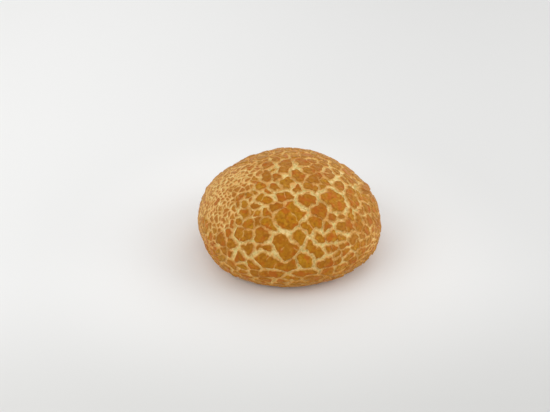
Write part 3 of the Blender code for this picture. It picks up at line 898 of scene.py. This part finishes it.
mottling, group_in, group_out = new_group(
    "oven_mottling",
    [("Place", PLACE), ("Blotches per metre", VALUE), ("Freckles per metre", VALUE)],
    [("Blotches", VALUE), ("Freckles", VALUE)],
)
for effect, detail in (("Blotches", BLOTCH_DETAIL), ("Freckles", FRECKLE_DETAIL)):
    scale = group_in.outputs[effect + " per metre"]
    sockets = {"Vector": group_in.outputs["Place"], "Scale": scale, "Detail": detail}
    mottling.links.new(put(mottling, "ShaderNodeTexNoise", sockets, "Fac"), group_out.inputs[effect])
print("nodes in the mottling group:", len(mottling.nodes))

# %% Pores
GRIT_DETAIL, PORE_SHARE = 4.0, 0.6

pores, group_in, group_out = new_group(
    "crust_pores",
    [("Place", PLACE), ("Pores per metre", VALUE), ("Grit per metre", VALUE)],
    [("Height", VALUE)],
)
sockets = {"Vector": group_in.outputs["Place"], "Scale": group_in.outputs["Pores per metre"]}
cells = put(pores, "ShaderNodeTexVoronoi", sockets, "Distance", feature="SMOOTH_F1")
sockets = {
    "Vector": group_in.outputs["Place"],
    "Scale": group_in.outputs["Grit per metre"],
    "Detail": GRIT_DETAIL,
}
grit = put(pores, "ShaderNodeTexNoise", sockets, "Fac")
height = calculate(pores, "ADD", calculate(pores, "MULTIPLY", cells, PORE_SHARE), grit)
pores.links.new(height, group_out.inputs["Height"])
print("nodes in the pores group:", len(pores.nodes))

# %% [markdown]
# Where the roll turns under, the dough has no coat. It is a dull golden brown in darker and lighter
# blotches, with darker freckles and a little flour left on it. The coat and the foot meet there, so both
# use this same group, and no line shows between them. Noise rarely leaves the span from 0.3 to 0.7, so a
# colour that depends on it changes between two values in there.

# %% Bare dough
DARK_DOUGH, LIGHT_DOUGH = chart(165, 105, 41), chart(184, 132, 66)
DOUGH_FRECKLE, FLOUR = chart(132, 77, 30), chart(212, 193, 160)
DOUGH_MOTTLING = {"Blotches per metre": 160.0, "Freckles per metre": 900.0}
# Floury patches: how wide they are, their finer layers, and how much flour hides at most.
FLOUR_PATCH, FLOUR_DETAIL, MOST_FLOUR = 7 * MM, 6.0, 0.55
CLEAN_ROUGHNESS, FLOURY_ROUGHNESS = 0.62, 0.9

bare_dough, group_in, group_out = new_group(
    "bare_dough", [("Place", PLACE)], [("Color", COLOUR), ("Roughness", VALUE)]
)
place = group_in.outputs["Place"]
spots = use_group(bare_dough, mottling, {"Place": place, **DOUGH_MOTTLING})
brown = stain(bare_dough, DARK_DOUGH, LIGHT_DOUGH, spots.outputs["Blotches"], 0.35, 0.65)
brown = stain(bare_dough, brown, DOUGH_FRECKLE, spots.outputs["Freckles"], 0.55, 0.75, 0, 0.5)
patches = cloud(bare_dough, place, FLOUR_PATCH, FLOUR_DETAIL)
flour = ramp(bare_dough, patches, 0.56, 0.78, 0, MOST_FLOUR)
bare_dough.links.new(mix(bare_dough, flour, brown, FLOUR), group_out.inputs["Color"])
roughness = ramp(bare_dough, flour, 0, 0.6, CLEAN_ROUGHNESS, FLOURY_ROUGHNESS)
bare_dough.links.new(roughness, group_out.inputs["Roughness"])
print("nodes in the bare dough group:", len(bare_dough.nodes))

# %% Finish of the foot
FOOT_PORES = {"Pores per metre": 700.0, "Grit per metre": 2500.0}


def new_material(name):
    """A material's tree, its shader and the place on the object that its patterns read."""
    material = bpy.data.materials.new(name)
    material.use_nodes = True
    tree = material.node_tree
    return material, tree, tree.nodes["Principled BSDF"], put(tree, "ShaderNodeTexCoord", {}, "Object")


foot_finish, tree, shader, place = new_material("tray_side_crust")
dough = use_group(tree, bare_dough, {"Place": place})
tree.links.new(dough.outputs["Color"], shader.inputs["Base Color"])
tree.links.new(dough.outputs["Roughness"], shader.inputs["Roughness"])
height = use_group(tree, pores, {"Place": place, **FOOT_PORES}).outputs["Height"]
bump = put(tree, "ShaderNodeBump", {"Strength": 0.5, "Distance": 0.15 * MM, "Height": height})
tree.links.new(bump, shader.inputs["Normal"])
shader.inputs["Specular IOR Level"].default_value = 0.3
foot.data.materials.append(foot_finish)
print("finish of the foot:", foot_finish.name)

# %% [markdown]
# ## The crackled coat
#
# The colours follow the distance to the crack, in millimetres inside the plate's edge, with a little
# noise added so that they end raggedly. First come the patterns that several colours share.

# %% Patterns of the coat
COAT_MOTTLING = {"Blotches per metre": 330.0, "Freckles per metre": 620.0}
# How far noise moves the colours' edges in mm, and how wide its blotches are.
RAGGED_COLOUR, RAGGED_GRAIN = 0.8, 1.1 * MM
# Patches where the oven was hotter or cooler: how wide they are, and their finer layers.
HEAT_PATCH, HEAT_DETAIL = 5.0 * MM, 1.5

coat_finish, tree, shader, place = new_material("tiger_crust")


def fact(name):
    """The output that carries one of the mesh's own values."""
    return put(tree, "ShaderNodeAttribute", {}, "Fac", attribute_name=name)


around_zero = calculate(tree, "SUBTRACT", cloud(tree, place, RAGGED_GRAIN), 0.5)
push = calculate(tree, "MULTIPLY", around_zero, RAGGED_COLOUR)
depth_in = calculate(tree, "ADD", fact("inside_mm"), push)
spots = use_group(tree, mottling, {"Place": place, **COAT_MOTTLING})
wide = ramp(tree, spots.outputs["Blotches"], 0.36, 0.64)
freckles = ramp(tree, spots.outputs["Freckles"], 0.4, 0.7)
heat = cloud(tree, place, HEAT_PATCH, HEAT_DETAIL)
level = put(tree, "ShaderNodeSeparateXYZ", {0: place}, "Z")
print("the coat's mesh carries:", ", ".join(coat_facts))

# %% [markdown]
# Dough shows in the middle of wide cracks, olive cream to ivory with darker specks. Along the plates it
# has a border of peach and tan, where the paste was thin. A brown skin of paste covers some cracks,
# most of all next to the plates. Thin cracks between coarse plates are more tan, as more heat reached
# their floor. All cracks also turn a darker tan lower down on the roll, from the level where the paste
# slid down towards the foot. Each stain is given by its colour, its cause, the two values of the cause
# between which it changes, and its share at each of them.

# %% Colours of the cracks
CREAM, IVORY, CREAM_SPECK = chart(217, 198, 130), chart(238, 209, 148), chart(180, 152, 80)
PEACH, TAN = chart(236, 182, 112), chart(221, 182, 107)
PASTE_SKIN, THIN_CRACK, LOW_CRACK = chart(196, 136, 58), chart(204, 144, 68), chart(206, 146, 60)
# The largest share of each of these over the dough's own colour.
MOST_SPECKED, MOST_COVERED, MOST_THIN, MOST_LOW = 0.75, 0.75, 0.5, 0.55
SKIN_PATCH, SKIN_DETAIL = 4.0 * MM, 1.0
LOWEST_CRACKS = 4 * MM

cream = mix(tree, wide, CREAM, IVORY)
cream = mix(tree, calculate(tree, "MULTIPLY", freckles, MOST_SPECKED), cream, CREAM_SPECK)
border = mix(tree, wide, PEACH, TAN)
crack = stain(tree, cream, border, depth_in, -0.55, -0.05)
covered = ramp(tree, cloud(tree, place, SKIN_PATCH, SKIN_DETAIL), 0.5, 0.72, 0, MOST_COVERED)
covered = calculate(tree, "MULTIPLY", covered, ramp(tree, depth_in, -0.9, -0.3))
crack = mix(tree, covered, crack, PASTE_SKIN)
thin = ramp(tree, fact("width_mm"), 0.6, 1.3, MOST_THIN, 0)
thin = calculate(tree, "MULTIPLY", thin, ramp(tree, fact("size_mm"), 3, 6))
crack = mix(tree, thin, crack, THIN_CRACK)
# Lower down on the roll the cracks are a darker tan.
crack = stain(tree, crack, LOW_CRACK, level, DRAWN_BELOW, LOWEST_CRACKS, 0, MOST_LOW)
print("nodes in the finish with the cracks:", len(tree.nodes))

# %% [markdown]
# A plate is amber, with dark and light freckles. It is redder in patches where the oven was hotter,
# more olive where it was cooler, and deeper along its edge. Each plate baked a little differently, the
# finest ones stayed paler, and hairline seams have the colour of the border.

# %% Colours of the plates
OLIVE_AMBER, AMBER = chart(182, 125, 14), chart(175, 111, 12)
DARK_FRECKLE, LIGHT_FRECKLE = chart(138, 78, 4), chart(207, 150, 60)
HOT_PATCH, COOL_PATCH = chart(184, 88, 18), chart(158, 106, 18)
PLATE_EDGE, HARD_BAKED, FINE_CRUST = chart(146, 92, 8), chart(152, 80, 12), chart(184, 114, 50)
MOST_SEAM = 0.7

amber = mix(tree, wide, OLIVE_AMBER, AMBER)
amber = stain(tree, amber, DARK_FRECKLE, spots.outputs["Freckles"], 0.5, 0.7, 0, 0.65)
amber = stain(tree, amber, LIGHT_FRECKLE, spots.outputs["Freckles"], 0.46, 0.28, 0, 0.55)
amber = stain(tree, amber, HOT_PATCH, heat, 0.46, 0.68, 0, 0.7)
amber = stain(tree, amber, COOL_PATCH, heat, 0.5, 0.32, 0, 0.45)
amber = stain(tree, amber, PLATE_EDGE, depth_in, 0.1, 1.4, 0.35, 0)
amber = stain(tree, amber, HARD_BAKED, fact("bake"), 0, 1, 0, 0.4)
amber = stain(tree, amber, FINE_CRUST, fact("size_mm"), 2.4, 5, 0.38, 0)
amber = mix(tree, calculate(tree, "MULTIPLY", fact("seam"), MOST_SEAM), amber, border)

colour = stain(tree, crack, amber, depth_in, -0.28, 0.6)
dough = use_group(tree, bare_dough, {"Place": place})
colour = mix(tree, fact("bare"), colour, dough.outputs["Color"])
tree.links.new(colour, shader.inputs["Base Color"])
print("nodes in the finish with the plates:", len(tree.nodes))

# %% [markdown]
# The plates are a hard, slightly glassy crust, and the torn dough in the cracks is dry and matt, so the
# roughness follows the same distance. Fine pores and grit are only in the bump, as they are smaller
# than the mesh can carry. A warm sheen stands for the dusty bloom of baked starch, which shows where
# the surface turns away.

# %% Gloss and pores of the coat
COAT_PORES = {"Pores per metre": 1100.0, "Grit per metre": 3200.0}
CRACK_ROUGHNESS, PLATE_ROUGHNESS = 0.86, 0.52
# What freckles add to the roughness, from the lightest to the darkest.
FRECKLE_ROUGHNESS = (-0.05, 0.08)

roughness = ramp(tree, depth_in, -0.1, 0.4, CRACK_ROUGHNESS, PLATE_ROUGHNESS)
roughness = calculate(tree, "ADD", roughness, ramp(tree, freckles, 0, 1, *FRECKLE_ROUGHNESS))
tree.links.new(roughness, shader.inputs["Roughness"])
height = use_group(tree, pores, {"Place": place, **COAT_PORES}).outputs["Height"]
bump = put(tree, "ShaderNodeBump", {"Strength": 0.55, "Distance": 0.12 * MM, "Height": height})
tree.links.new(bump, shader.inputs["Normal"])
shader.inputs["Specular IOR Level"].default_value = 0.09
shader.inputs["Sheen Weight"].default_value = 0.32
shader.inputs["Sheen Roughness"].default_value = 0.45
shader.inputs["Sheen Tint"].default_value = chart(255, 235, 180)
for part in coat:
    part.data.materials.append(coat_finish)
print("finish of the coat:", coat_finish.name)

# %% [markdown]
# ## Who carries what
#
# The five pieces, the coat's four quarters and the foot, stand in for the plain solid, which is hidden.
# They move with its body.

# %% Put the pieces on the roll's body
for piece in (*coat, foot):
    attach(piece, "root")
    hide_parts("tiger_bread_roll")
print("pieces handed over:", len(coat) + 1)

# %% [markdown]
# ## Floor, light and camera
#
# The roll stands on plain pale paper, between five large soft boxes, with even light from all round, so
# its shadow is faint and hugs the foot. Light and shade are also painted into the paper's colour: a
# painted falloff darkens it to the right and far from the roll, leaving a painted pool of light round
# the roll, and a painted shadow darkens it towards the front. It lies a hair under the roll, so that
# the two faces don't share one plane.

# %% Floor
# Half the paper's width in metres, and how far it lies under the roll.
REACH = 2.5
JUST_UNDER = 0.02 * MM
# The paper's own colour, then the painted falloff of the light to the right, the painted shadow in front and
# the painted falloff far from the roll. White means no painted shade.
PAPER, PAINTED_FALLOFF_RIGHT = chart(247, 247, 246), chart(225, 225, 224)
PAINTED_SHADOW_FRONT, PAINTED_FALLOFF_FAR, NO_SHADE = chart(236, 236, 235), chart(246, 246, 246), chart(255, 255, 255)

floor_mesh = bpy.data.meshes.new("studio_floor")
square = ((-REACH, -REACH), (REACH, -REACH), (REACH, REACH), (-REACH, REACH))
floor_mesh.from_pydata([(x, y, -JUST_UNDER) for x, y in square], [], [(0, 1, 2, 3)])
floor = bpy.data.objects.new("studio_floor", floor_mesh)
bpy.context.scene.collection.objects.link(floor)
paper, tree, shader, place = new_material("pale_paper")
across = put(tree, "ShaderNodeSeparateXYZ", {0: place}, "X")
away = put(tree, "ShaderNodeSeparateXYZ", {0: place}, "Y")
distance = put(tree, "ShaderNodeVectorMath", {0: place}, "Value", operation="LENGTH")
# The limits of these three are lengths in metres from the roll's middle. They paint light and shade
# into the paper: a painted falloff to the right, a painted shadow towards the front, and a painted
# falloff far from the roll, which leaves a painted pool of light round it.
paper_and_painted_light = stain(tree, PAPER, PAINTED_FALLOFF_RIGHT, across, -0.3, 0.3)
front = stain(tree, PAINTED_SHADOW_FRONT, NO_SHADE, away, -0.16, -0.03)
far = stain(tree, NO_SHADE, PAINTED_FALLOFF_FAR, distance, 0.07, 0.16)
painted_shade = mix(tree, 1.0, front, far, "MULTIPLY")
paper_and_painted_light = mix(tree, 1.0, paper_and_painted_light, painted_shade, "MULTIPLY")
tree.links.new(paper_and_painted_light, shader.inputs["Base Color"])
shader.inputs["Roughness"].default_value = 0.9
shader.inputs["Specular IOR Level"].default_value = 0.1
floor_mesh.materials.append(paper)
print("floor is metres wide:", 2 * REACH)

# %% Light
AIR_STRENGTH = 0.66
# The point that every soft box faces, and the length of its sides, in metres.
LAMP_AIM, LAMP_SIZE = Vector((0, 0, 0.02)), 0.9
# Where each soft box hangs, in metres, and its watts.
SOFTBOXES = {
    "back_left_softbox": ((-0.6, 0.8, 1.0), 1.5),
    "back_right_softbox": ((0.6, 0.8, 1.0), 2.4),
    "front_left_softbox": ((-0.85, -0.5, 0.7), 4.2),
    "front_softbox": ((0.0, -1.1, 0.8), 0.5),
    "right_softbox": ((1.0, -0.1, 0.45), 5.2),
}

world = bpy.data.worlds.new("studio_air")
bpy.context.scene.world = world
world.use_nodes = True
world.node_tree.nodes["Background"].inputs["Color"].default_value = (1.0, 1.0, 1.0, 1.0)
world.node_tree.nodes["Background"].inputs["Strength"].default_value = AIR_STRENGTH
for name, (spot, watts) in SOFTBOXES.items():
    lamp_data = bpy.data.lights.new(name, "AREA")
    lamp_data.shape, lamp_data.size, lamp_data.energy = "SQUARE", LAMP_SIZE, watts
    lamp = bpy.data.objects.new(name, lamp_data)
    bpy.context.scene.collection.objects.link(lamp)
    lamp.location = spot
    lamp.rotation_euler = (LAMP_AIM - Vector(spot)).to_track_quat("-Z", "Y").to_euler()
print("soft boxes:", len(SOFTBOXES))

# %% [markdown]
# The camera looks down at 33 degrees from the front, through a normal lens. It is moved back along that
# line until the roll has its size in the frame, and shifted a little, as the roll stands just right of
# the middle.

# %% Camera
LOOK_DOWN = math.radians(33)
# The point that the camera faces, and how far away it is, in metres.
AIM, DISTANCE = (0.0, 0.0, 0.025), 0.4548
# The lens and the sensor in mm.
FOCAL_LENGTH, SENSOR_WIDTH = 50.0, 36.0
# Shifts are shares of the frame's width, given here in pixels.
FRAME_WIDTH, SHIFT_ACROSS, SHIFT_UP = 550, -14.5, 1.0

camera_data = bpy.data.cameras.new("camera")
camera_data.lens, camera_data.sensor_width = FOCAL_LENGTH, SENSOR_WIDTH
camera_data.shift_x, camera_data.shift_y = SHIFT_ACROSS / FRAME_WIDTH, SHIFT_UP / FRAME_WIDTH
camera = bpy.data.objects.new("camera", camera_data)
bpy.context.scene.collection.objects.link(camera)
camera.location = (
    AIM[0],
    AIM[1] - math.cos(LOOK_DOWN) * DISTANCE,
    AIM[2] + math.sin(LOOK_DOWN) * DISTANCE,
)
camera.rotation_euler = (math.pi / 2 - LOOK_DOWN, 0, 0)
bpy.context.scene.camera = camera
bpy.context.scene.view_settings.view_transform = "Standard"
bpy.context.scene.view_settings.look = "None"
print("camera stands at:", [round(float(x), 3) for x in camera.location])

# %% [markdown]
# ## Size
#
# The finished pieces have to fill the same box as the solid roll.

# %% Finish
bpy.context.view_layer.update()
